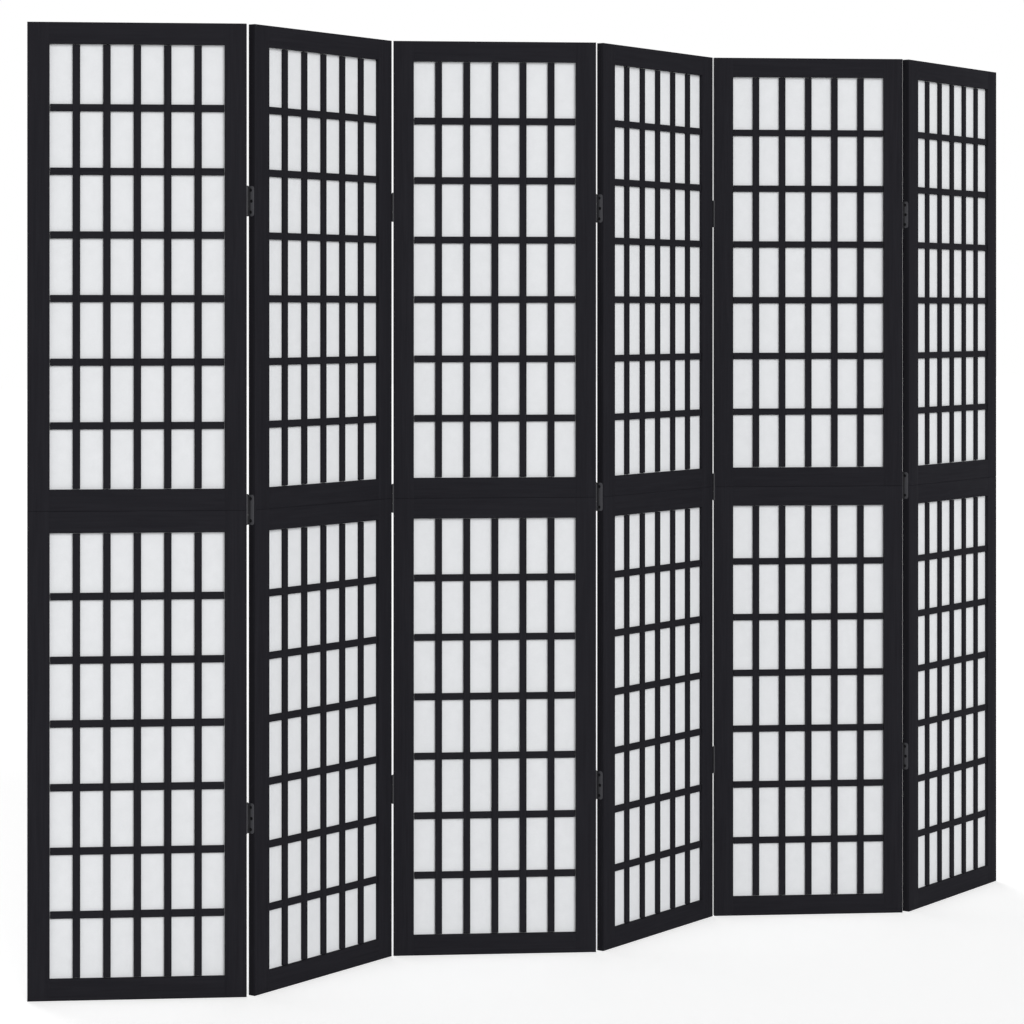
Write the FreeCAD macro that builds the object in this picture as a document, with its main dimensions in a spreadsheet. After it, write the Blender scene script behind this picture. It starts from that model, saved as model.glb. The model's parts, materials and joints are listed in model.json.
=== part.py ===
"""Six-leaf folding room divider with half-height lattice frames, paper sheets and butt hinges.

Units are millimetres and degrees. +Z is up, +X runs along the folded row of leaves and the front
looks towards -Y. The origin is on the floor, under the middle of the standing screen.

Pieces are modelled once in a leaf's own frame: x along the leaf from its left edge, y from its
front face to its back face, z up from the floor. Each node then places copies of them on one leaf.
"""
import FreeCAD, Part
import math
import os
import re
import Sketcher

SIZES = {
    # whole screen
    "leaf_width": 400.0,
    "half_height": 900.0,
    "frame_thickness": 16.0,
    "leaf_count": 6,
    "fold_angle": 50.0,
    # frame members and their joints
    "stile_width": 40.0,
    "rail_width": 40.0,
    "arris_chamfer": 0.4,
    "end_chamfer": 0.8,
    "tenon_length": 20.0,
    "tenon_width": 24.0,
    "tenon_thickness": 6.0,
    "joint_clearance": 0.1,
    "dowel_diameter": 8.0,
    "dowel_length": 40.0,
    "dowel_inset": 110.0,
    "dowel_clearance": 0.05,
    # sheet and lattice
    "sheet_thickness": 0.5,
    "sheet_lap": 4.0,
    "sheet_clearance": 0.1,
    "bar_width": 13.4,
    "bar_thickness": 5.0,
    "bar_end_gap": 1.2,
    "upright_bars": 5,
    "cross_bars": 6,
    # hinges
    "hinge_length": 56.0,
    "hinge_end_distance": 328.0,
    "plate_width": 13.6,
    "plate_thickness": 0.8,
    "plate_corner_radius": 5.0,
    "plate_clearance": 0.2,
    "knuckle_radius": 2.0,
    "knuckle_face_gap": 0.3,
    "knuckle_end_gap": 0.25,
    "pin_radius": 1.2,
    "pin_clearance": 0.05,
    "pin_head_radius": 1.8,
    "pin_head_height": 1.2,
}

# Lengths that several pieces share
OPENING_WIDTH = "(leaf_width - 2 * stile_width)"
OPENING_HEIGHT = "(half_height - 2 * rail_width)"
MID_DEPTH = "(frame_thickness / 2)"
LATTICE_FRONT = "(frame_thickness / 2 - sheet_thickness / 2 - bar_thickness)"
GROOVE_DEPTH = "(sheet_lap + sheet_clearance)"
GROOVE_WIDTH = "(sheet_thickness + 2 * sheet_clearance)"
TENON_BOTTOM = "((rail_width - tenon_width) / 2)"
MORTISE_WIDTH = "(tenon_width + 2 * joint_clearance)"
MORTISE_THICKNESS = "(tenon_thickness + 2 * joint_clearance)"
CELL_WIDTH = "((leaf_width - 2 * stile_width - upright_bars * bar_width) / (upright_bars + 1))"
CROSS_PITCH = "((half_height - 2 * rail_width) / (cross_bars + 1))"
LEAF_GAP = "(2 * plate_thickness + plate_clearance)"
AXIS_PROUD = "(knuckle_radius + knuckle_face_gap)"
KNUCKLE_LENGTH = "((hinge_length - 2 * knuckle_end_gap) / 3)"

X_AXIS = FreeCAD.Vector(1, 0, 0)
Y_AXIS = FreeCAD.Vector(0, 1, 0)
Z_AXIS = FreeCAD.Vector(0, 0, 1)
HALF_TURN = 180.0
EDGE_TOLERANCE = 1e-6

doc = FreeCAD.newDocument("room_divider")
sheet = doc.addObject("Spreadsheet::Sheet", "sizes")
for row, (alias, amount) in enumerate(SIZES.items(), start=1):
    sheet.set(f"A{row}", alias)
    sheet.set(f"B{row}", str(amount))
    sheet.setAlias(f"B{row}", alias)
doc.recompute()


def bind(thing, prop, formula):
    """Ties a property to a formula that is written with the sheet's aliases."""
    linked = re.sub(r"[a-z_]+", lambda word: f"sizes.{word.group()}" if word.group() in SIZES else word.group(),
                    formula)
    thing.setExpression(prop, linked)


def place(thing, x="0", y="0", z="0"):
    """Ties the three coordinates of a placement to formulas."""
    for axis, formula in zip("xyz", (x, y, z)):
        bind(thing, f"Placement.Base.{axis}", formula)


# Modelling helpers


def origin_part(body, role):
    """The plane or axis of a body's own origin that has this role."""
    return next(part for part in body.Origin.OriginFeatures if part.Role == role)


def rectangle_sketch(body, name, plane, offset, rectangles):
    """A sketch on an offset origin plane, with (left, bottom, width, height) rectangles as formulas."""
    sketch = body.newObject("Sketcher::SketchObject", name)
    sketch.AttachmentSupport = [(origin_part(body, plane), "")]
    sketch.MapMode = "FlatFace"
    bind(sketch, "AttachmentOffset.Base.z", offset)
    for left, bottom, width, height in rectangles:
        first = sketch.GeometryCount
        corners = [FreeCAD.Vector(1, 1), FreeCAD.Vector(2, 1), FreeCAD.Vector(2, 2), FreeCAD.Vector(1, 2)]
        for i in range(4):
            sketch.addGeometry(Part.LineSegment(corners[i], corners[(i + 1) % 4]))
        for i in range(4):
            sketch.addConstraint(Sketcher.Constraint("Coincident", first + i, 2, first + (i + 1) % 4, 1))
        for side, kind in enumerate(("Horizontal", "Vertical", "Horizontal", "Vertical")):
            sketch.addConstraint(Sketcher.Constraint(kind, first + side))
        drives = (
            (left, Sketcher.Constraint("DistanceX", -1, 1, first, 1, 1.0)),
            (bottom, Sketcher.Constraint("DistanceY", -1, 1, first, 1, 1.0)),
            (width, Sketcher.Constraint("DistanceX", first, 1, first, 2, 1.0)),
            (height, Sketcher.Constraint("DistanceY", first + 1, 1, first + 1, 2, 1.0)),
        )
        for formula, constraint in drives:
            index = sketch.addConstraint(constraint)
            bind(sketch, f"Constraints[{index}]", formula)
    return sketch


def extrude(body, kind, name, sketch, depth, reverse=False):
    """A Pad or Pocket of a sketch, to a depth given as a formula."""
    feature = body.newObject(f"PartDesign::{kind}", name)
    feature.Profile = sketch
    feature.Reversed = reverse
    bind(feature, "Length", depth)
    doc.recompute()
    return feature


def ease_edges(body, name, base, kind, amount, wanted):
    """A Chamfer or Fillet on the edges of the base feature whose box satisfies the test."""
    names = [f"Edge{i}" for i, edge in enumerate(base.Shape.Edges, start=1) if wanted(edge.BoundBox)]
    eased = body.newObject(f"PartDesign::{kind}", name)
    eased.Base = (base, names)
    bind(eased, "Size" if kind == "Chamfer" else "Radius", amount)
    doc.recompute()
    return eased


def repeat(body, name, feature, axis, count, pitch):
    """A row of equal features along one of the body's axes."""
    pattern = body.newObject("PartDesign::LinearPattern", name)
    pattern.Originals = [feature]
    pattern.Direction = (origin_part(body, axis), [""])
    pattern.Mode = "Spacing"
    bind(pattern, "Occurrences", count)
    bind(pattern, "Offset", pitch)
    body.Tip = pattern
    doc.recompute()


def box(name, corner, length, width, height):
    """A plain block with its low corner and its sizes as formulas."""
    block = doc.addObject("Part::Box", name)
    bind(block, "Length", length)
    bind(block, "Width", width)
    bind(block, "Height", height)
    place(block, *corner)
    return block


def cylinder(name, radius, height, z="0"):
    """An upright cylinder on the z axis."""
    rod = doc.addObject("Part::Cylinder", name)
    bind(rod, "Radius", radius)
    bind(rod, "Height", height)
    place(rod, z=z)
    return rod


def fuse(name, pieces):
    """One solid made of several."""
    joined = doc.addObject("Part::MultiFuse", name)
    joined.Shapes = pieces
    return joined


def placed(name, piece, x="0", y="0", z="0", turn_axis=None):
    """A copy of a piece, half turned about an axis through its own origin if asked, then moved."""
    copy = doc.addObject("Part::Compound", name)
    copy.Links = [piece]
    if turn_axis:
        copy.Placement = FreeCAD.Placement(FreeCAD.Vector(), FreeCAD.Rotation(turn_axis, HALF_TURN))
    place(copy, x, y, z)
    return copy


# Frame members


def make_stile():
    """The lower left stile: sheet groove and blind mortises in its inner edge, outer edges eased."""
    body = doc.addObject("PartDesign::Body", "stile")
    section = rectangle_sketch(body, "stile_section", "XY_Plane", "0",
                               [("0", "0", "stile_width", "frame_thickness")])
    blank = extrude(body, "Pad", "stile_blank", section, "half_height")
    length = blank.Shape.BoundBox.ZLength
    width = blank.Shape.BoundBox.XLength
    ends = ease_edges(body, "stile_ends", blank, "Chamfer", "end_chamfer",
                      lambda edge: edge.XLength > width / 2)
    ease_edges(body, "stile_arrises", ends, "Chamfer", "arris_chamfer",
               lambda edge: edge.ZLength > length / 2 and edge.XMax < EDGE_TOLERANCE)
    groove = rectangle_sketch(body, "stile_groove_mouth", "YZ_Plane", "stile_width", [(
        f"{MID_DEPTH} - {GROOVE_WIDTH} / 2", f"rail_width - {GROOVE_DEPTH}",
        GROOVE_WIDTH, f"{OPENING_HEIGHT} + 2 * {GROOVE_DEPTH}")])
    extrude(body, "Pocket", "stile_groove", groove, GROOVE_DEPTH)
    side = f"{MID_DEPTH} - {MORTISE_THICKNESS} / 2"
    low = f"{TENON_BOTTOM} - joint_clearance"
    high = f"half_height - {TENON_BOTTOM} - tenon_width - joint_clearance"
    mouths = rectangle_sketch(body, "mortise_mouths", "YZ_Plane", "stile_width", [
        (side, low, MORTISE_THICKNESS, MORTISE_WIDTH),
        (side, high, MORTISE_THICKNESS, MORTISE_WIDTH)])
    extrude(body, "Pocket", "mortises", mouths, "tenon_length + joint_clearance")
    return body


def make_rail(name, dowelled):
    """A bottom rail with a tenon at each end and the sheet groove along its top."""
    body = doc.addObject("PartDesign::Body", name)
    section = rectangle_sketch(body, f"{name}_section", "YZ_Plane", "stile_width",
                               [("0", "0", "frame_thickness", "rail_width")])
    blank = extrude(body, "Pad", f"{name}_blank", section, OPENING_WIDTH)
    length = blank.Shape.BoundBox.XLength
    ease_edges(body, f"{name}_arrises", blank, "Chamfer", "end_chamfer",
               lambda edge: edge.XLength > length / 2 and edge.ZMax < EDGE_TOLERANCE)
    groove = rectangle_sketch(body, f"{name}_groove_mouth", "XY_Plane", "rail_width", [(
        "stile_width", f"{MID_DEPTH} - {GROOVE_WIDTH} / 2", OPENING_WIDTH, GROOVE_WIDTH)])
    extrude(body, "Pocket", f"{name}_groove", groove, GROOVE_DEPTH)
    tenon = [(f"{MID_DEPTH} - tenon_thickness / 2", TENON_BOTTOM, "tenon_thickness", "tenon_width")]
    left = rectangle_sketch(body, f"{name}_left_tenon_section", "YZ_Plane", "stile_width", tenon)
    extrude(body, "Pad", f"{name}_left_tenon", left, "tenon_length", reverse=True)
    right = rectangle_sketch(body, f"{name}_right_tenon_section", "YZ_Plane", "leaf_width - stile_width", tenon)
    extrude(body, "Pad", f"{name}_right_tenon", right, "tenon_length")
    if not dowelled:
        return body
    holes = []
    for side, x in (("left", "dowel_inset"), ("right", "leaf_width - dowel_inset")):
        hole = cylinder(f"{side}_dowel_hole", "dowel_diameter / 2 + dowel_clearance",
                        "dowel_length / 2 + dowel_clearance")
        place(hole, x, MID_DEPTH)
        holes.append(hole)
    drilled = doc.addObject("Part::Cut", f"{name}_drilled")
    drilled.Base = body
    drilled.Tool = fuse("dowel_holes", holes)
    return drilled


def make_lattice():
    """The lower front lattice: upright bars and cross bars, flush where they cross."""
    body = doc.addObject("PartDesign::Body", "lattice")
    face = f"-{LATTICE_FRONT}"
    upright = rectangle_sketch(body, "first_upright", "XZ_Plane", face, [(
        f"stile_width + {CELL_WIDTH}", "rail_width + bar_end_gap",
        "bar_width", f"{OPENING_HEIGHT} - 2 * bar_end_gap")])
    bar = extrude(body, "Pad", "upright_bar", upright, "bar_thickness", reverse=True)
    repeat(body, "upright_row", bar, "X_Axis", "upright_bars", f"{CELL_WIDTH} + bar_width")
    cross = rectangle_sketch(body, "first_cross", "XZ_Plane", face, [(
        "stile_width + bar_end_gap", f"rail_width + {CROSS_PITCH} - bar_width / 2",
        f"{OPENING_WIDTH} - 2 * bar_end_gap", "bar_width")])
    bar = extrude(body, "Pad", "cross_bar", cross, "bar_thickness", reverse=True)
    repeat(body, "cross_row", bar, "Z_Axis", "cross_bars", CROSS_PITCH)
    return body


def make_sheet():
    """The lower paper sheet, its border lying in the grooves of the frame."""
    return box("sheet", ("stile_width - sheet_lap", f"{MID_DEPTH} - sheet_thickness / 2", "rail_width - sheet_lap"),
               f"{OPENING_WIDTH} + 2 * sheet_lap", "sheet_thickness", f"{OPENING_HEIGHT} + 2 * sheet_lap")


# Hinges, with the pin's axis on the z axis and the plate on the leaf at the left of it


def make_plate_flat(name):
    """The flat of a hinge plate, with its two free corners rounded."""
    body = doc.addObject("PartDesign::Body", name)
    outline = rectangle_sketch(body, f"{name}_outline", "YZ_Plane", f"-{LEAF_GAP} / 2",
                               [(f"-{AXIS_PROUD} - plate_width", "0", "plate_width", "hinge_length")])
    blank = extrude(body, "Pad", f"{name}_blank", outline, "plate_thickness")
    thickness = blank.Shape.BoundBox.XLength
    free_side = blank.Shape.BoundBox.YMin
    ease_edges(body, f"{name}_corners", blank, "Fillet", "plate_corner_radius",
               lambda edge: edge.XLength > thickness / 2 and edge.YMax < free_side + EDGE_TOLERANCE)
    return body


def make_hinge_plate(name, knuckle_heights):
    """A flat plate that rolls into the knuckles standing at these heights."""
    half_gap = f"{LEAF_GAP} / 2"
    pieces = [make_plate_flat(f"{name}_flat")]
    for number, z in enumerate(knuckle_heights, start=1):
        pieces.append(box(f"{name}_root_{number}", (f"-{half_gap}", f"-{AXIS_PROUD}", z),
                          "plate_thickness", AXIS_PROUD, KNUCKLE_LENGTH))
        pieces.append(cylinder(f"{name}_roll_{number}", "knuckle_radius", KNUCKLE_LENGTH, z))
    plate = doc.addObject("Part::Cut", name)
    plate.Base = fuse(f"{name}_blank", pieces)
    plate.Tool = cylinder(f"{name}_bore", "pin_radius + pin_clearance", "hinge_length")
    return plate


def make_hinge_pin():
    """The pin, hanging by its head on the top knuckle."""
    shank = cylinder("pin_shank", "pin_radius", "hinge_length")
    head = cylinder("pin_head", "pin_head_radius", "pin_head_height", "hinge_length")
    return fuse("pin", [shank, head])


stile = make_stile()
plain_rail = make_rail("plain_rail", dowelled=False)
dowelled_rail = make_rail("dowelled_rail", dowelled=True)
lattice = make_lattice()
paper = make_sheet()
dowel = cylinder("dowel", "dowel_diameter / 2", "dowel_length", "half_height - dowel_length / 2")
carrying_plate = make_hinge_plate("carrying_plate", ("0", f"hinge_length - {KNUCKLE_LENGTH}"))
swinging_plate = make_hinge_plate("swinging_plate", (f"{KNUCKLE_LENGTH} + knuckle_end_gap",))
pin = make_hinge_pin()

# Copies of the pieces where they stand in a leaf
FAR_SIDE = {"x": "leaf_width", "y": "frame_thickness", "turn_axis": Z_AXIS}
leaf_pieces = {
    "left_stiles": [
        placed("lower_left_stile", stile),
        placed("upper_left_stile", stile, z="half_height"),
    ],
    "right_stiles": [
        placed("lower_right_stile", stile, **FAR_SIDE),
        placed("upper_right_stile", stile, z="half_height", **FAR_SIDE),
    ],
    "rails": [
        placed("bottom_rail", plain_rail),
        placed("lower_middle_rail", dowelled_rail, "leaf_width", "0", "half_height", Y_AXIS),
        placed("upper_middle_rail", dowelled_rail, z="half_height"),
        placed("top_rail", plain_rail, "leaf_width", "0", "2 * half_height", Y_AXIS),
    ],
    "front_lattices": [
        placed("lower_front_lattice", lattice),
        placed("upper_front_lattice", lattice, z="half_height"),
    ],
    "back_lattices": [
        placed("lower_back_lattice", lattice, **FAR_SIDE),
        placed("upper_back_lattice", lattice, z="half_height", **FAR_SIDE),
    ],
    "lower_sheet": [placed("lower_paper", paper)],
    "upper_sheet": [placed("upper_paper", paper, z="half_height")],
    "joining_dowels": [
        placed("left_dowel", dowel, "dowel_inset", MID_DEPTH),
        placed("right_dowel", dowel, "leaf_width - dowel_inset", MID_DEPTH),
    ],
}

# Foot of each of a fold's three hinges
HINGE_FEET = {
    "low": "hinge_end_distance - hinge_length / 2",
    "mid": "half_height - hinge_length / 2",
    "high": "2 * half_height - hinge_end_distance - hinge_length / 2",
}
RIGHT_AXIS_X = f"leaf_width + {LEAF_GAP} / 2"
LEFT_AXIS_X = f"-{LEAF_GAP} / 2"
RIDGE_AXIS_Y = f"frame_thickness + {AXIS_PROUD}"
VALLEY_AXIS_Y = f"-{AXIS_PROUD}"


def hinge_row(name, piece, x, y, turn_axis=None):
    """Three copies of a hinge piece up the edge of a leaf; a turn about x or y stands it on its head."""
    copies = []
    for level, foot in HINGE_FEET.items():
        upended = turn_axis in (X_AXIS, Y_AXIS)
        z = f"{foot} + hinge_length" if upended else foot
        copies.append(placed(f"{name}_{level}", piece, x, y, z, turn_axis))
    return copies


# A ridge points to the front and has its pins behind the leaves; a valley has them in front
ridge_right = hinge_row("ridge_right_plate", carrying_plate, RIGHT_AXIS_X, RIDGE_AXIS_Y)
ridge_left = hinge_row("ridge_left_plate", swinging_plate, LEFT_AXIS_X, RIDGE_AXIS_Y, Y_AXIS)
valley_right = hinge_row("valley_right_plate", carrying_plate, RIGHT_AXIS_X, VALLEY_AXIS_Y, X_AXIS)
valley_left = hinge_row("valley_left_plate", swinging_plate, LEFT_AXIS_X, VALLEY_AXIS_Y, Z_AXIS)
ridge_pins = hinge_row("ridge_pin", pin, RIGHT_AXIS_X, RIDGE_AXIS_Y)
valley_pins = hinge_row("valley_pin", pin, RIGHT_AXIS_X, VALLEY_AXIS_Y)


# Standing place of each leaf


def size(alias):
    """A driving dimension, read back from the sheet."""
    return float(sheet.get(alias))


LEAF_COUNT = int(size("leaf_count"))
HALF_FOLD = size("fold_angle") / 2


def turned(angle, x, y):
    """A point of a leaf's plan, turned about the vertical."""
    c = math.cos(math.radians(angle))
    s = math.sin(math.radians(angle))
    return FreeCAD.Vector(c * x - s * y, s * x + c * y, 0)


def leaf_places():
    """Placements of the leaves in a zigzag, chained through their hinge axes and centred on the origin."""
    width = size("leaf_width")
    depth = size("frame_thickness")
    half_gap = size("plate_thickness") + size("plate_clearance") / 2
    proud = size("knuckle_radius") + size("knuckle_face_gap")
    angles = [-HALF_FOLD if number % 2 else HALF_FOLD for number in range(1, LEAF_COUNT + 1)]
    corners = [FreeCAD.Vector()]
    for number in range(1, LEAF_COUNT):
        axis_y = depth + proud if number % 2 else -proud
        step = turned(angles[number - 1], width + half_gap, axis_y) - turned(angles[number], -half_gap, axis_y)
        corners.append(corners[-1] + step)
    reach = [corner + turned(angle, x, y) for corner, angle in zip(corners, angles)
             for x in (0, width) for y in (0, depth)]
    centre = FreeCAD.Vector(min(p.x for p in reach) + max(p.x for p in reach),
                            min(p.y for p in reach) + max(p.y for p in reach), 0) * 0.5
    return [FreeCAD.Placement(corner - centre, FreeCAD.Rotation(Z_AXIS, angle))
            for corner, angle in zip(corners, angles)]


def node(label, pieces, where):
    """An exported group of pieces on one leaf."""
    group = doc.addObject("Part::Compound", label)
    group.Label = label
    group.Links = pieces
    group.Placement = where
    return group


nodes = []
for number, where in enumerate(leaf_places(), start=1):
    odd = number % 2 == 1
    for kind, pieces in leaf_pieces.items():
        nodes.append(node(f"leaf_{number}_{kind}", pieces, where))
    plates = []
    if number > 1:
        plates += valley_left if odd else ridge_left
    if number < LEAF_COUNT:
        plates += ridge_right if odd else valley_right
        nodes.append(node(f"fold_{number}_hinge_pins", ridge_pins if odd else valley_pins, where))
    nodes.append(node(f"leaf_{number}_hinge_plates", plates, where))
doc.recompute()

for thing in doc.Objects:
    if "Invalid" in thing.State or "Error" in thing.State:
        raise RuntimeError(f"{thing.Label} failed: {thing.State}")
for group in nodes:
    if group.Shape.isNull() or not group.Shape.isValid():
        raise RuntimeError(f"{group.Label} has no valid shape")

os.makedirs("parts", exist_ok=True)
for group in nodes:
    group.Shape.exportStep(f"parts/{group.Label}.step")
    print(group.Label, len(group.Shape.Solids), "solids", round(group.Shape.Volume), "mm3")
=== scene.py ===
"""Folding room divider: six black lattice leaves with white paper sheets, hinged in a zigzag."""

import json
import math

import bmesh
import bpy
from mathutils import Matrix, Vector


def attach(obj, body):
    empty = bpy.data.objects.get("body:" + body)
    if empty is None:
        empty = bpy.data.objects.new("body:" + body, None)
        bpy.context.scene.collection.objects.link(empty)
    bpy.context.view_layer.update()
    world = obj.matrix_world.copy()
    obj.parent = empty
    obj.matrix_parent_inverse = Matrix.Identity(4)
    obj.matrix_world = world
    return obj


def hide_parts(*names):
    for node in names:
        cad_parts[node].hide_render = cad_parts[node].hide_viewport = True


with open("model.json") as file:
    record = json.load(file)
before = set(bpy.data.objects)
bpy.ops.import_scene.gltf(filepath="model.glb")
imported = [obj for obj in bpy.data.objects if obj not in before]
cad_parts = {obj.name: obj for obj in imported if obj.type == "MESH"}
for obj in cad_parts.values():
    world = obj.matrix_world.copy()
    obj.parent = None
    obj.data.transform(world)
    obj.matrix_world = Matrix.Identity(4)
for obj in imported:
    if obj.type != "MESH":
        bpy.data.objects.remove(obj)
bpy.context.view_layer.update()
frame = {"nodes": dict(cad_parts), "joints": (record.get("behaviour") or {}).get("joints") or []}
scene = bpy.context.scene

MM = 0.001
QUARTER_TURN = math.pi / 2

# One leaf: two frames of this height, one on the other
LEAF_COUNT = 6
LEAF_WIDTH = 400 * MM
HALF_HEIGHT = 900 * MM
FRAME_THICKNESS = 16 * MM
MEMBER_WIDTH = 40 * MM
ARRIS_RADIUS = 0.18 * MM

# Lattice bars, flush with each other, on both sides of the sheet
BAR_WIDTH = 13.4 * MM
BAR_THICKNESS = 5 * MM
BAR_ARRIS = 0.35 * MM
BAR_END_GAP = 1.2 * MM
CROSSING_GAP = 0.12 * MM
UPRIGHTS = 5
CROSS_BARS = 6

# Paper, with its border in the frame's groove; its two waves cross, in radians to the metre across and up
SHEET_SLOT = 0.5 * MM
SHEET_LAP = 4 * MM
PAPER_THICKNESS = 0.3 * MM
PAPER_WAVE = 0.06 * MM
WAVE_RATES = ((31, 9), (-7, 23))
PAPER_GRID = (18, 44)

# Hinges: plates on the leaves' edges, and pins proud of the face they fold towards
HINGE_END_DISTANCE = 328 * MM
LEAF_GAP = 1.8 * MM
PIN_PROUD = 2.3 * MM
PLATE_THICKNESS = 0.8 * MM
PLATE_ARRIS = 0.15 * MM
PIN_ARRIS = 0.2 * MM

# Painted shade on the plates near the pin and painted light away from it, by the distance from the pin
PIN_MARK = "from_pin"
PIN_SHADE_SPAN = (6.5 * MM, 10 * MM)
PAINTED_SHADE_AT_PIN = 0.5
PAINTED_LIGHT_AWAY_FROM_PIN = 1.2

# Countersunk screws in the plates
SCREW_SPACING = 20.5 * MM
SCREW_FROM_PIN_SIDE = 5.8 * MM
SCREW_STAGGER = 1.6 * MM
SCREW_HEAD_RADIUS = 3.2 * MM
SCREW_SHANK_RADIUS = 1.5 * MM
SCREW_HEAD_DEPTH = 1.6 * MM
SCREW_CLEARANCE = 0.12 * MM
SCREW_SUNK = 0.06 * MM
SCREW_SIDES = 28
CROSS_RECESS = Vector((3.6, 0.8, 1.6)) * MM
FACING_MARK = "facing"
SCREW_SEED = 7

# Floor, as a plain sheet just under the object
FLOOR_REACH = 40.0
FLOOR_DROP = 0.3 * MM
FLOOR_GREY = (0.80, 0.80, 0.80, 1)
FLOOR_GLOW = 0.50
WHITE = (1, 1, 1, 1)

# Camera, level, with the picture's centre shifted off its axis
CAMERA_PLACE = Vector((-2.8325, -4.9974, 1.2672))
CAMERA_TURN = math.radians(-29.9545)
SENSOR_WIDTH = 36.0
CAMERA_LENS = 100.575
CAMERA_SHIFT = (-0.0835, -0.1956)


def is_ridge(fold):
    """A ridge points to the front and has its pins behind the leaves; a valley is the other way round."""
    return fold % 2 == 1


def pin_depth(fold):
    """Depth of a fold's pins behind the front face of the leaves that it joins."""
    return FRAME_THICKNESS + PIN_PROUD if is_ridge(fold) else -PIN_PROUD


def fold_pins():
    """Foot of each fold's pin line, by the fold's number."""
    return {int(joint["name"].split("_")[1]): Vector(joint["pos_m"]) for joint in frame["joints"]}


def leaf_turn(number, pins):
    """Turn of a leaf about the vertical, from its two pins; an end leaf stands like the next but one."""
    model = {1: 3, LEAF_COUNT: LEAF_COUNT - 2}.get(number, number)
    seen = pins[model] - pins[model - 1]
    own = Vector((LEAF_WIDTH + LEAF_GAP, pin_depth(model) - pin_depth(model - 1)))
    return math.atan2(seen.y, seen.x) - math.atan2(own.y, own.x)


def leaf_place(number, pins):
    """Place of a leaf's lower left front corner, from a pin on its edge."""
    turned = Matrix.Rotation(leaf_turn(number, pins), 4, "Z")
    fold = min(number, LEAF_COUNT - 1)
    edge = LEAF_WIDTH + LEAF_GAP / 2 if fold == number else -LEAF_GAP / 2
    corner = pins[fold] - turned @ Vector((edge, pin_depth(fold), 0))
    return Matrix.Translation(corner) @ turned


# Node materials

NOISE_SPAN = (0.25, 0.75)
ACROSS, UPRIGHT = 0, 2
GRAIN_STRETCH = 0.035
PAINT_TONES = ((0.0151, 0.0147, 0.0180), (0.0194, 0.0189, 0.0228))
PAPER_TONES = ((0.758, 0.770, 0.787), (0.800, 0.812, 0.830))
DOWEL_TONES = ((0.42, 0.28, 0.16), (0.60, 0.44, 0.28))
HINGE_TINT = (0.080, 0.080, 0.088)
SCREW_TINT = (0.022, 0.022, 0.024)
SPOT_SHADE = 0.78


def new_finish(name):
    """A new node material, its tree and its shader."""
    material = bpy.data.materials.new(name)
    material.use_nodes = True
    return material, material.node_tree, material.node_tree.nodes["Principled BSDF"]


def add_node(tree, kind, **settings):
    """A node with its settings; a key that isn't a property is the name of an input."""
    node = tree.nodes.new(kind)
    for key, value in settings.items():
        if hasattr(node, key):
            setattr(node, key, value)
        else:
            node.inputs[key.replace("_", " ")].default_value = value
    return node


def surface_pattern(tree, turn=0.0, stretch=(1, 1, 1), lean=(0, 0)):
    """Place on the object, turned into the leaf's own directions, leaned and stretched."""
    place = add_node(tree, "ShaderNodeTexCoord").outputs["Object"]
    mapping = add_node(tree, "ShaderNodeMapping", vector_type="POINT")
    mapping.inputs["Rotation"].default_value = (lean[0], lean[1], turn)
    scaled = add_node(tree, "ShaderNodeMapping", vector_type="POINT")
    scaled.inputs["Scale"].default_value = stretch
    tree.links.new(place, mapping.inputs["Vector"])
    tree.links.new(mapping.outputs["Vector"], scaled.inputs["Vector"])
    return scaled.outputs["Vector"]


def noise(tree, place, scale, detail=4.0, rough=0.55, distortion=0.0):
    """Soft noise of so many spots to the metre."""
    node = add_node(tree, "ShaderNodeTexNoise")
    node.inputs["Scale"].default_value = scale
    node.inputs["Detail"].default_value = detail
    node.inputs["Roughness"].default_value = rough
    node.inputs["Distortion"].default_value = distortion
    tree.links.new(place, node.inputs["Vector"])
    return node.outputs["Fac"]


def colour_ramp(tree, factor, tones, span):
    """Colour between two tones, over a span of the factor."""
    node = add_node(tree, "ShaderNodeValToRGB")
    for element, tone, place in zip(node.color_ramp.elements, tones, span):
        element.position = place
        element.color = (*tone, 1.0)
    tree.links.new(factor, node.inputs["Fac"])
    return node.outputs["Color"]


def in_range(tree, factor, low, high, span=NOISE_SPAN):
    """The factor, brought from its own span to that between two numbers."""
    node = add_node(tree, "ShaderNodeMapRange")
    node.inputs["From Min"].default_value, node.inputs["From Max"].default_value = span
    node.inputs["To Min"].default_value = low
    node.inputs["To Max"].default_value = high
    tree.links.new(factor, node.inputs["Value"])
    return node.outputs["Result"]


def relief(tree, heights):
    """Bumps stacked on each other, given as (height, depth in metres, strength)."""
    normal = None
    for height, depth, strength in heights:
        node = add_node(tree, "ShaderNodeBump")
        node.inputs["Distance"].default_value = depth
        node.inputs["Strength"].default_value = strength
        tree.links.new(height, node.inputs["Height"])
        if normal:
            tree.links.new(normal, node.inputs["Normal"])
        normal = node.outputs["Normal"]
    return normal


def black_paint(name, turn, along):
    """Satin black paint over fine-grained softwood, with the grain along one axis of the leaf."""
    material, tree, shader = new_finish(name)
    long_grain = [1.0, 1.0, 1.0]
    long_grain[along] = GRAIN_STRETCH
    place = surface_pattern(tree, turn, long_grain)
    rings = noise(tree, place, scale=260, detail=3, distortion=0.6)
    pores = noise(tree, place, scale=1500, detail=2)
    film = noise(tree, surface_pattern(tree, turn), scale=38, detail=3)
    colour = colour_ramp(tree, rings, PAINT_TONES, span=(0.30, 0.72))
    tree.links.new(colour, shader.inputs["Base Color"])
    tree.links.new(in_range(tree, film, low=0.52, high=0.64), shader.inputs["Roughness"])
    bumps = [(rings, 0.06 * MM, 0.25), (pores, 0.04 * MM, 0.18), (film, 0.10 * MM, 0.10)]
    tree.links.new(relief(tree, bumps), shader.inputs["Normal"])
    shader.inputs["Specular IOR Level"].default_value = 0.006
    return material


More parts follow.
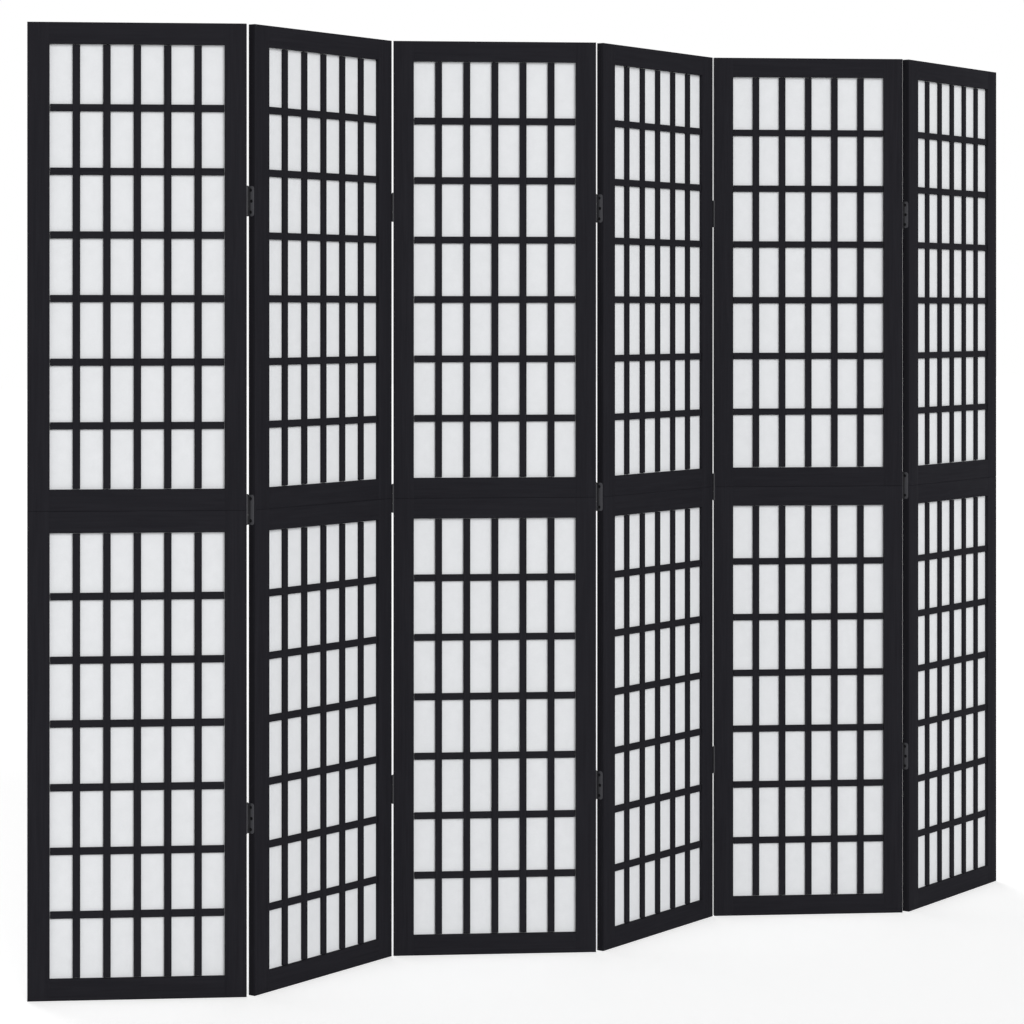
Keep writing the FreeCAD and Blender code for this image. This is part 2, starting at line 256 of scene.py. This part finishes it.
def fibre_paper(name, turn):
    """White paper with long fibres laid every way."""
    material, tree, shader = new_finish(name)
    clouds = noise(tree, surface_pattern(tree, turn), scale=45, detail=5, rough=0.6)
    shallow = surface_pattern(tree, turn, stretch=(0.22, 1, 1), lean=(0, 0.45))
    steep = surface_pattern(tree, turn, stretch=(1, 1, 0.18), lean=(0, 0.3))
    fibres = add_node(tree, "ShaderNodeMath", operation="MULTIPLY")
    for socket, way in enumerate((shallow, steep)):
        laid = noise(tree, way, scale=900, detail=2, distortion=1.2)
        tree.links.new(laid, fibres.inputs[socket])
    mottle = add_node(tree, "ShaderNodeMath", operation="ADD")
    mottle.use_clamp = True
    tree.links.new(clouds, mottle.inputs[0])
    tree.links.new(fibres.outputs[0], mottle.inputs[1])
    colour = colour_ramp(tree, mottle.outputs[0], PAPER_TONES, span=(0.45, 0.95))
    tree.links.new(colour, shader.inputs["Base Color"])
    tree.links.new(in_range(tree, clouds, low=0.82, high=0.94), shader.inputs["Roughness"])
    bumps = [(fibres.outputs[0], 0.08 * MM, 0.25), (clouds, 0.15 * MM, 0.15)]
    tree.links.new(relief(tree, bumps), shader.inputs["Normal"])
    shader.inputs["Specular IOR Level"].default_value = 0.06
    return material


def hinge_coating(name, tint, rough):
    """Dark satin coating on pressed steel, with painted shade near the pin and painted light away from it;
    a piece without the mark gets the painted shade all over.
    """
    material, tree, shader = new_finish(name)
    lines = noise(tree, surface_pattern(tree, stretch=(1, 1, 0.06)), scale=1800, detail=3)
    spots = noise(tree, surface_pattern(tree), scale=420, detail=4, rough=0.65)
    darker = tuple(SPOT_SHADE * part for part in tint)
    colour = colour_ramp(tree, spots, (darker, tint), span=(0.32, 0.70))
    # Painted shade near the pin and painted light farther off, set by the distance from the pin
    from_pin = add_node(tree, "ShaderNodeAttribute", attribute_name=PIN_MARK).outputs["Fac"]
    painted_pin_shade = add_node(tree, "ShaderNodeVectorMath", operation="SCALE")
    tree.links.new(colour, painted_pin_shade.inputs[0])
    tree.links.new(in_range(tree, from_pin, PAINTED_SHADE_AT_PIN, PAINTED_LIGHT_AWAY_FROM_PIN, PIN_SHADE_SPAN), painted_pin_shade.inputs["Scale"])
    tree.links.new(painted_pin_shade.outputs[0], shader.inputs["Base Color"])
    tree.links.new(in_range(tree, spots, low=rough - 0.05, high=rough + 0.08), shader.inputs["Roughness"])
    bumps = [(lines, 0.03 * MM, 0.25), (spots, 0.05 * MM, 0.15)]
    tree.links.new(relief(tree, bumps), shader.inputs["Normal"])
    shader.inputs["Specular IOR Level"].default_value = 0.22
    return material


def turned_hardwood(name):
    """Plain hardwood of the hidden dowels."""
    material, tree, shader = new_finish(name)
    grain = noise(tree, surface_pattern(tree, stretch=(1, 1, 0.05)), scale=700, detail=4, distortion=0.8)
    colour = colour_ramp(tree, grain, DOWEL_TONES, span=(0.3, 0.7))
    tree.links.new(colour, shader.inputs["Base Color"])
    tree.links.new(in_range(tree, grain, low=0.55, high=0.70), shader.inputs["Roughness"])
    tree.links.new(relief(tree, [(grain, 0.05 * MM, 0.3)]), shader.inputs["Normal"])
    return material


# Pieces

SHARP_ANGLE = math.radians(18)
ARRIS_ANGLE = math.radians(35)
FLAT_ANGLE = math.radians(0.5)
MERGE_DISTANCE = 0.001 * MM


def put_in_scene(name, mesh):
    """A mesh as an object of the scene, at the origin."""
    piece = bpy.data.objects.new(name, mesh)
    scene.collection.objects.link(piece)
    return piece


def ease_edges(piece, width, segments=2):
    """Puts rounded arrises on every sharp edge."""
    bevel = piece.modifiers.new("eased arrises", "BEVEL")
    bevel.width = width
    bevel.segments = segments
    bevel.limit_method = "ANGLE"
    bevel.angle_limit = ARRIS_ANGLE


def settle(piece, place=Matrix.Identity(4)):
    """Turns a piece's modifiers into its plain mesh, in its place on the object."""
    bpy.context.view_layer.update()
    evaluated = piece.evaluated_get(bpy.context.evaluated_depsgraph_get())
    mesh = bpy.data.meshes.new_from_object(evaluated)
    piece.modifiers.clear()
    piece.data = mesh
    mesh.name = piece.name
    mesh.transform(place)
    mesh.shade_smooth()
    mesh.set_sharp_from_angle(angle=SHARP_ANGLE)


def new_tree(name, sizes, takes_points=False):
    """An empty Geometry Nodes tree whose named inputs are these sizes."""
    tree = bpy.data.node_groups.new(name, "GeometryNodeTree")
    if takes_points:
        tree.interface.new_socket("Points", in_out="INPUT", socket_type="NodeSocketGeometry")
    kinds = {int: "NodeSocketInt", float: "NodeSocketFloat"}
    for key, value in sizes.items():
        kind = kinds.get(type(value), "NodeSocketVector")
        tree.interface.new_socket(key, in_out="INPUT", socket_type=kind)
    tree.interface.new_socket("Made", in_out="OUTPUT", socket_type="NodeSocketGeometry")
    start = tree.nodes.new("NodeGroupInput").outputs
    return tree, start


def wire(tree, kind, wires, **settings):
    """A node of a Geometry Nodes tree, with its inputs wired by name or number."""
    node = add_node(tree, kind, **settings)
    for socket, source in wires.items():
        tree.links.new(source, node.inputs[socket])
    return node.outputs


def set_sizes(piece, tree, sizes):
    """Puts a tree on a piece, with its inputs set by their identifiers."""
    modifier = piece.modifiers.new(tree.name, "NODES")
    modifier.node_group = tree
    for item in tree.interface.items_tree:
        if item.in_out == "INPUT" and item.name in sizes:
            modifier[item.identifier] = sizes[item.name]


def finish_tree(tree, parts, material=None):
    """Ends a tree: realized instances with their material."""
    made = wire(tree, "GeometryNodeRealizeInstances", {"Geometry": parts})[0]
    if material:
        made = wire(tree, "GeometryNodeSetMaterial", {"Geometry": made}, Material=material)[0]
    return made


def trim_ends(tree, bars, reach):
    """Bars cut off where they pass the reach, measured from the middle."""
    place = wire(tree, "GeometryNodeInputPosition", {})[0]
    other_way = wire(tree, "ShaderNodeVectorMath", {0: reach}, operation="SCALE", Scale=-1.0)[0]
    capped = wire(tree, "ShaderNodeVectorMath", {0: place, 1: reach}, operation="MINIMUM")[0]
    kept = wire(tree, "ShaderNodeVectorMath", {0: capped, 1: other_way}, operation="MAXIMUM")[0]
    return wire(tree, "GeometryNodeSetPosition", {"Geometry": bars, "Position": kept})[0]


def lattice_tree(sizes, upright_paint, cross_paint):
    """Uprights that run through, with cross bars let in between them, on both faces of both halves."""
    tree, size = new_tree("lattice bars", sizes)
    upright = wire(tree, "GeometryNodeMeshCube", {"Size": size["Upright Size"]})[0]
    step = wire(tree, "ShaderNodeCombineXYZ", {"X": size["Upright Pitch"]})[0]
    row = wire(
        tree,
        "GeometryNodeMeshLine",
        {"Count": size["Upright Count"], "Start Location": size["First Upright"], "Offset": step},
    )[0]
    uprights = wire(tree, "GeometryNodeInstanceOnPoints", {"Points": row, "Instance": upright})[0]
    cross = wire(tree, "GeometryNodeMeshCube", {"Size": size["Cross Size"]})[0]
    field = wire(
        tree,
        "GeometryNodeMeshGrid",
        {
            "Size X": size["Cross Run"],
            "Size Y": size["Cross Rise"],
            "Vertices X": size["Cross Columns"],
            "Vertices Y": size["Cross Count"],
        },
    )[0]
    stood = wire(tree, "GeometryNodeTransform", {"Geometry": field}, Rotation=(QUARTER_TURN, 0, 0))[0]
    crosses = wire(tree, "GeometryNodeInstanceOnPoints", {"Points": stood, "Instance": cross})[0]
    both = tree.nodes.new("GeometryNodeJoinGeometry")
    tree.links.new(finish_tree(tree, uprights, upright_paint), both.inputs[0])
    trimmed = trim_ends(tree, finish_tree(tree, crosses, cross_paint), size["Cross Reach"])
    tree.links.new(trimmed, both.inputs[0])
    corners = wire(
        tree,
        "GeometryNodeMeshGrid",
        {"Size X": size["Face Spacing"], "Size Y": size["Half Height"]},
        Vertices_X=2,
        Vertices_Y=2,
    )[0]
    faces = wire(
        tree, "GeometryNodeTransform", {"Geometry": corners}, Rotation=(QUARTER_TURN, 0, QUARTER_TURN)
    )[0]
    leaf = wire(
        tree, "GeometryNodeInstanceOnPoints", {"Points": faces, "Instance": both.outputs[0]}
    )[0]
    wire(tree, "NodeGroupOutput", {0: finish_tree(tree, leaf)})
    return tree


def lattice_sizes():
    """Inputs of the lattice's tree, from the opening and the bars."""
    opening = LEAF_WIDTH - 2 * MEMBER_WIDTH
    rise = HALF_HEIGHT - 2 * MEMBER_WIDTH
    clear = (opening - UPRIGHTS * BAR_WIDTH) / (UPRIGHTS + 1)
    pitch = clear + BAR_WIDTH
    return {
        "Upright Size": (BAR_WIDTH, BAR_THICKNESS, rise - 2 * BAR_END_GAP),
        "Upright Count": UPRIGHTS,
        "Upright Pitch": pitch,
        "First Upright": (-pitch * (UPRIGHTS - 1) / 2, 0.0, 0.0),
        "Cross Size": (clear - 2 * CROSSING_GAP, BAR_THICKNESS, BAR_WIDTH),
        "Cross Columns": UPRIGHTS + 1,
        "Cross Run": pitch * UPRIGHTS,
        "Cross Reach": (opening / 2 - BAR_END_GAP, FRAME_THICKNESS, HALF_HEIGHT),
        "Cross Count": CROSS_BARS,
        "Cross Rise": rise * (CROSS_BARS - 1) / (CROSS_BARS + 1),
        "Face Spacing": BAR_THICKNESS + SHEET_SLOT,
        "Half Height": HALF_HEIGHT,
    }


def make_lattices(leaf, place, tree, sizes):
    """All the bars of a leaf, front and back, upper and lower."""
    piece = put_in_scene(f"{leaf}_lattice_bars", bpy.data.meshes.new("bars"))
    set_sizes(piece, tree, sizes)
    ease_edges(piece, BAR_ARRIS)
    middle = Matrix.Translation((LEAF_WIDTH / 2, FRAME_THICKNESS / 2, HALF_HEIGHT))
    settle(piece, place @ middle)
    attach(piece, leaf)
    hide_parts(f"{leaf}_front_lattices", f"{leaf}_back_lattices")


def make_sheet(leaf, place, half, foot, paper):
    """One paper sheet, cut to the opening and its lap, with the faint wave of stretched paper."""
    width = LEAF_WIDTH - 2 * MEMBER_WIDTH + 2 * SHEET_LAP
    length = HALF_HEIGHT - 2 * MEMBER_WIDTH + 2 * SHEET_LAP
    columns, rows = PAPER_GRID
    first, second = WAVE_RATES
    grid = bmesh.new()
    bmesh.ops.create_grid(grid, x_segments=columns, y_segments=rows, size=0.5)
    for vert in grid.verts:
        across, up = vert.co.x * width, vert.co.y * length
        one_way = math.sin(across * first[0] + up * first[1])
        other_way = math.cos(across * second[0] + up * second[1])
        vert.co = (across, one_way * other_way * PAPER_WAVE, up)
    bmesh.ops.recalc_face_normals(grid, faces=grid.faces)
    mesh = bpy.data.meshes.new("paper")
    grid.to_mesh(mesh)
    grid.free()
    mesh.materials.append(paper)
    piece = put_in_scene(f"{leaf}_{half}_paper", mesh)
    thick = piece.modifiers.new("paper thickness", "SOLIDIFY")
    thick.thickness = PAPER_THICKNESS
    thick.offset = 0
    middle = (LEAF_WIDTH / 2, FRAME_THICKNESS / 2, foot + HALF_HEIGHT / 2)
    settle(piece, place @ Matrix.Translation(middle))
    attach(piece, leaf)
    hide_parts(f"{leaf}_{half}_sheet")


def halves_apart(mesh):
    """Points of the upper and of the lower frame, which touch; a spot just inside a face tells its half."""
    inside = [(face, face.calc_center_median() - face.normal * MM) for face in mesh.faces]
    above = {vert for face, spot in inside if spot.z > HALF_HEIGHT for vert in face.verts}
    return [[vert for vert in mesh.verts if (vert in above) == upper] for upper in (True, False)]


def merged_copy(node, name, material, two_halves=False):
    """A CAD node's mesh with the triangles of each solid joined up, as a new piece."""
    copy = bmesh.new()
    copy.from_mesh(frame["nodes"][node].data)
    copy.normal_update()
    groups = halves_apart(copy) if two_halves else [copy.verts[:]]
    for points in groups:
        bmesh.ops.remove_doubles(copy, verts=points, dist=MERGE_DISTANCE)
    bmesh.ops.dissolve_limit(copy, angle_limit=FLAT_ANGLE, verts=copy.verts, edges=copy.edges)
    mesh = bpy.data.meshes.new(name)
    copy.to_mesh(mesh)
    copy.free()
    mesh.attributes.remove(mesh.attributes["custom_normal"])
    mesh.materials.append(material)
    return put_in_scene(name, mesh)


def screw_places(number):
    """(place, outward direction) of each hinge screw of a leaf, in the leaf's own directions."""
    places = []
    edges = [(number - 1, -PLATE_THICKNESS, -1), (number, LEAF_WIDTH + PLATE_THICKNESS, 1)]
    heights = (HINGE_END_DISTANCE, HALF_HEIGHT, 2 * HALF_HEIGHT - HINGE_END_DISTANCE)
    for fold, across, outward in edges:
        if not 1 <= fold < LEAF_COUNT:
            continue
        depth = FRAME_THICKNESS - SCREW_FROM_PIN_SIDE if is_ridge(fold) else SCREW_FROM_PIN_SIDE
        inward = -1 if is_ridge(fold) else 1
        for height in heights:
            for step in (-1, 0, 1):
                if step == 0 and height == HALF_HEIGHT:
                    continue
                stagger = inward * SCREW_STAGGER * (1 - abs(step))
                spot = Vector((across, depth + stagger, height + step * SCREW_SPACING))
                places.append((spot, Vector((outward, 0, 0))))
    return places


def screw_points(name, places):
    """A mesh of bare points with the way each screw faces."""
    mesh = bpy.data.meshes.new(name)
    mesh.from_pydata([spot for spot, _ in places], [], [])
    facing = mesh.attributes.new(FACING_MARK, "FLOAT_VECTOR", "POINT")
    for entry, (_, way) in zip(facing.data, places):
        entry.vector = way
    return put_in_scene(name, mesh)


def screw_tree(name, sizes, material, recessed):
    """Countersunk heads set on points, each turned its own way; without the recess they are the drill."""
    tree, size = new_tree(name, sizes, takes_points=True)
    head = wire(
        tree,
        "GeometryNodeMeshCone",
        {
            "Radius Top": size["Head Radius"],
            "Radius Bottom": size["Shank Radius"],
            "Depth": size["Head Depth"],
        },
        Vertices=SCREW_SIDES,
    )[0]
    lift = wire(tree, "ShaderNodeCombineXYZ", {"Z": size["Lift"]})[0]
    head = wire(tree, "GeometryNodeTransform", {"Geometry": head, "Translation": lift})[0]
    if recessed:
        slot = wire(tree, "GeometryNodeMeshCube", {"Size": size["Recess Size"]})[0]
        other = wire(tree, "GeometryNodeTransform", {"Geometry": slot}, Rotation=(0, 0, QUARTER_TURN))[0]
        cut = add_node(tree, "GeometryNodeMeshBoolean", operation="DIFFERENCE", solver="EXACT")
        tree.links.new(head, cut.inputs["Mesh 1"])
        tree.links.new(slot, cut.inputs["Mesh 2"])
        tree.links.new(other, cut.inputs["Mesh 2"])
        head = cut.outputs[0]
    facing = add_node(tree, "GeometryNodeInputNamedAttribute", data_type="FLOAT_VECTOR")
    facing.inputs["Name"].default_value = FACING_MARK
    aimed = wire(
        tree, "FunctionNodeAlignRotationToVector", {"Vector": facing.outputs[0]}, axis="Z"
    )[0]
    spin = add_node(tree, "FunctionNodeRandomValue", data_type="FLOAT")
    spin.inputs["Max"].default_value = math.pi
    spin.inputs["Seed"].default_value = SCREW_SEED
    angle = next(output for output in spin.outputs if output.enabled)
    turn = wire(tree, "ShaderNodeCombineXYZ", {"Z": angle})[0]
    turned = wire(
        tree, "FunctionNodeRotateRotation", {"Rotation": aimed, "Rotate By": turn}, rotation_space="LOCAL"
    )[0]
    heads = wire(
        tree,
        "GeometryNodeInstanceOnPoints",
        {"Points": size["Points"], "Instance": head, "Rotation": turned},
    )[0]
    wire(tree, "NodeGroupOutput", {0: finish_tree(tree, heads, material)})
    return tree


def screw_sizes(clearance=0.0):
    """Inputs of the screws' tree; with a clearance, those of the hole that takes a screw."""
    return {
        "Head Radius": SCREW_HEAD_RADIUS + clearance,
        "Shank Radius": SCREW_SHANK_RADIUS + clearance,
        "Head Depth": SCREW_HEAD_DEPTH + clearance,
        "Lift": -SCREW_HEAD_DEPTH,
        "Recess Size": CROSS_RECESS,
    }


def mark_pin_distance(piece, number, pins):
    """Notes how far each point lies from the nearest pin line of its leaf, which sets the coating's painted
    shade and light.
    """
    lines = [pins[fold] for fold in (number - 1, number) if fold in pins]
    marks = piece.data.attributes.new(PIN_MARK, "FLOAT", "POINT")
    for vert, mark in zip(piece.data.vertices, marks.data):
        mark.value = min((vert.co - line).xy.length for line in lines)


def make_hinges(number, place, pins, trees, metal):
    """Hinge plates drilled and countersunk for their screws, and the screws in them."""
    leaf = f"leaf_{number}"
    spots = screw_places(number)
    sunk = [(spot - way * SCREW_SUNK, way) for spot, way in spots]
    screws = screw_points(f"{leaf}_hinge_screws", sunk)
    set_sizes(screws, trees["screws"], screw_sizes())
    settle(screws, place)
    drill = screw_points(f"{leaf}_drill", spots)
    set_sizes(drill, trees["drill"], screw_sizes(SCREW_CLEARANCE))
    settle(drill, place)
    plates = merged_copy(f"{leaf}_hinge_plates", f"{leaf}_drilled_plates", metal)
    cut = plates.modifiers.new("screw holes", "BOOLEAN")
    cut.operation = "DIFFERENCE"
    cut.solver = "EXACT"
    cut.object = drill
    ease_edges(plates, PLATE_ARRIS, segments=1)
    settle(plates)
    mark_pin_distance(plates, number, pins)
    bpy.data.objects.remove(drill)
    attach(plates, leaf)
    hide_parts(f"{leaf}_hinge_plates")
    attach(screws, leaf)


def make_pins(fold, metal):
    """Hinge pins with smooth sides and eased heads."""
    headed = merged_copy(f"fold_{fold}_hinge_pins", f"fold_{fold}_headed_pins", metal)
    ease_edges(headed, PIN_ARRIS)
    settle(headed)
    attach(headed, f"leaf_{fold}")
    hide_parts(f"fold_{fold}_hinge_pins")


def finish_dowels(leaf, wood):
    """The hidden dowels stay the CAD's own, with their finish."""
    slots = frame["nodes"][f"{leaf}_joining_dowels"].data.materials
    slots.clear()
    slots.append(wood)


def make_frame(leaf, stile_paint, rail_paint):
    """Painted stiles and rails with eased arrises."""
    paints = {"left_stiles": stile_paint, "right_stiles": stile_paint, "rails": rail_paint}
    for name, paint in paints.items():
        members = merged_copy(f"{leaf}_{name}", f"{leaf}_painted_{name}", paint, two_halves=True)
        ease_edges(members, ARRIS_RADIUS)
        settle(members)
        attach(members, leaf)
        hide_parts(f"{leaf}_{name}")


# Floor, light and camera


def white_to_the_eye(tree, shader, backdrop):
    """Shows the backdrop to the camera and in reflections, and the shader to all other light."""
    path = add_node(tree, "ShaderNodeLightPath")
    seen = path.outputs["Is Camera Ray"]
    for other in ("Is Glossy Ray", "Is Transmission Ray"):
        either = add_node(tree, "ShaderNodeMath", operation="MAXIMUM")
        tree.links.new(seen, either.inputs[0])
        tree.links.new(path.outputs[other], either.inputs[1])
        seen = either.outputs[0]
    mix = add_node(tree, "ShaderNodeMixShader")
    tree.links.new(seen, mix.inputs[0])
    tree.links.new(shader, mix.inputs[1])
    tree.links.new(backdrop, mix.inputs[2])
    return mix.outputs[0]


def make_floor():
    """A pale floor that keeps the object's soft shadow and runs out into white."""
    mesh = bpy.data.meshes.new("studio_floor")
    corners = [(x * FLOOR_REACH, y * FLOOR_REACH, 0) for x, y in ((-1, -1), (1, -1), (1, 1), (-1, 1))]
    mesh.from_pydata(corners, [], [(0, 1, 2, 3)])
    floor = put_in_scene("studio_floor", mesh)
    floor.location.z = -FLOOR_DROP
    material, tree, shader = new_finish("pale_floor")
    shader.inputs["Base Color"].default_value = FLOOR_GREY
    shader.inputs["Roughness"].default_value = 0.9
    shader.inputs["Specular IOR Level"].default_value = 0.0
    glow = add_node(tree, "ShaderNodeEmission")
    glow.inputs["Strength"].default_value = FLOOR_GLOW
    lit = add_node(tree, "ShaderNodeAddShader")
    tree.links.new(shader.outputs[0], lit.inputs[0])
    tree.links.new(glow.outputs[0], lit.inputs[1])
    seen = white_to_the_eye(tree, shader.outputs[0], lit.outputs[0])
    tree.links.new(seen, tree.nodes["Material Output"].inputs["Surface"])
    mesh.materials.append(material)


def make_world(ambient):
    """Even light from all round, white to the camera."""
    world = bpy.data.worlds.new("studio")
    world.use_nodes = True
    scene.world = world
    tree = world.node_tree
    soft = tree.nodes["Background"]
    soft.inputs["Color"].default_value = WHITE
    soft.inputs["Strength"].default_value = ambient
    white = add_node(tree, "ShaderNodeBackground")
    white.inputs["Color"].default_value = WHITE
    white.inputs["Strength"].default_value = 1.0
    seen = white_to_the_eye(tree, soft.outputs[0], white.outputs[0])
    tree.links.new(seen, tree.nodes["World Output"].inputs["Surface"])


def soft_sun(name, bearing, height, spread, strength):
    """Light from a wide patch of sky; bearing left of the front, height and spread are in degrees."""
    lamp = bpy.data.lights.new(name, "SUN")
    lamp.energy = strength
    lamp.angle = math.radians(spread)
    obj = bpy.data.objects.new(name, lamp)
    scene.collection.objects.link(obj)
    turn = math.radians(bearing)
    rise = math.radians(height)
    source = Vector((-math.sin(turn) * math.cos(rise), -math.cos(turn) * math.cos(rise), math.sin(rise)))
    obj.rotation_euler = source.to_track_quat("Z", "Y").to_euler()


def make_camera():
    """A level camera that looks along the row at an angle."""
    lens = bpy.data.cameras.new("camera")
    lens.sensor_width = SENSOR_WIDTH
    lens.lens = CAMERA_LENS
    lens.shift_x, lens.shift_y = CAMERA_SHIFT
    camera = bpy.data.objects.new("camera", lens)
    scene.collection.objects.link(camera)
    camera.location = CAMERA_PLACE
    camera.rotation_euler = (QUARTER_TURN, 0, CAMERA_TURN)
    scene.camera = camera


# The object

pins = fold_pins()
places = [leaf_place(number, pins) for number in range(1, LEAF_COUNT + 1)]
turns = [place.to_euler().z for place in places]

# Both coatings are painted darker near the pins; the screws and pins carry no mark and get that painted
# shade all over
hinge_metal = hinge_coating("hinge_coating", HINGE_TINT, rough=0.40)
screw_metal = hinge_coating("screw_coating", SCREW_TINT, rough=0.34)
dowel_wood = turned_hardwood("dowel_hardwood")
bar_sizes = lattice_sizes()
finishes = {}
for way, turn in zip(("left", "right"), turns):
    stile_paint = black_paint(f"black_paint_upright_{way}", -turn, UPRIGHT)
    rail_paint = black_paint(f"black_paint_across_{way}", -turn, ACROSS)
    bar_tree = lattice_tree(bar_sizes, stile_paint, rail_paint)
    finishes[way] = (stile_paint, rail_paint, fibre_paper(f"fibre_paper_{way}", -turn), bar_tree)

hinge_trees = {
    "screws": screw_tree("hinge screws", screw_sizes(), screw_metal, recessed=True),
    "drill": screw_tree("screw holes", screw_sizes(), screw_metal, recessed=False),
}

for number, place in enumerate(places, start=1):
    leaf = f"leaf_{number}"
    stile_paint, rail_paint, paper, bar_tree = finishes["left" if number % 2 else "right"]
    make_frame(leaf, stile_paint, rail_paint)
    make_lattices(leaf, place, bar_tree, bar_sizes)
    make_sheet(leaf, place, "lower", 0.0, paper)
    make_sheet(leaf, place, "upper", HALF_HEIGHT, paper)
    make_hinges(number, place, pins, hinge_trees, hinge_metal)
    finish_dowels(leaf, dowel_wood)
    if number < LEAF_COUNT:
        make_pins(number, hinge_metal)

# The studio

make_floor()
make_world(ambient=0.33)
soft_sun("front_light", bearing=5, height=20, spread=36, strength=2.02)
soft_sun("back_light", bearing=185, height=24, spread=40, strength=1.9)
make_camera()
scene.view_settings.view_transform = "Standard"
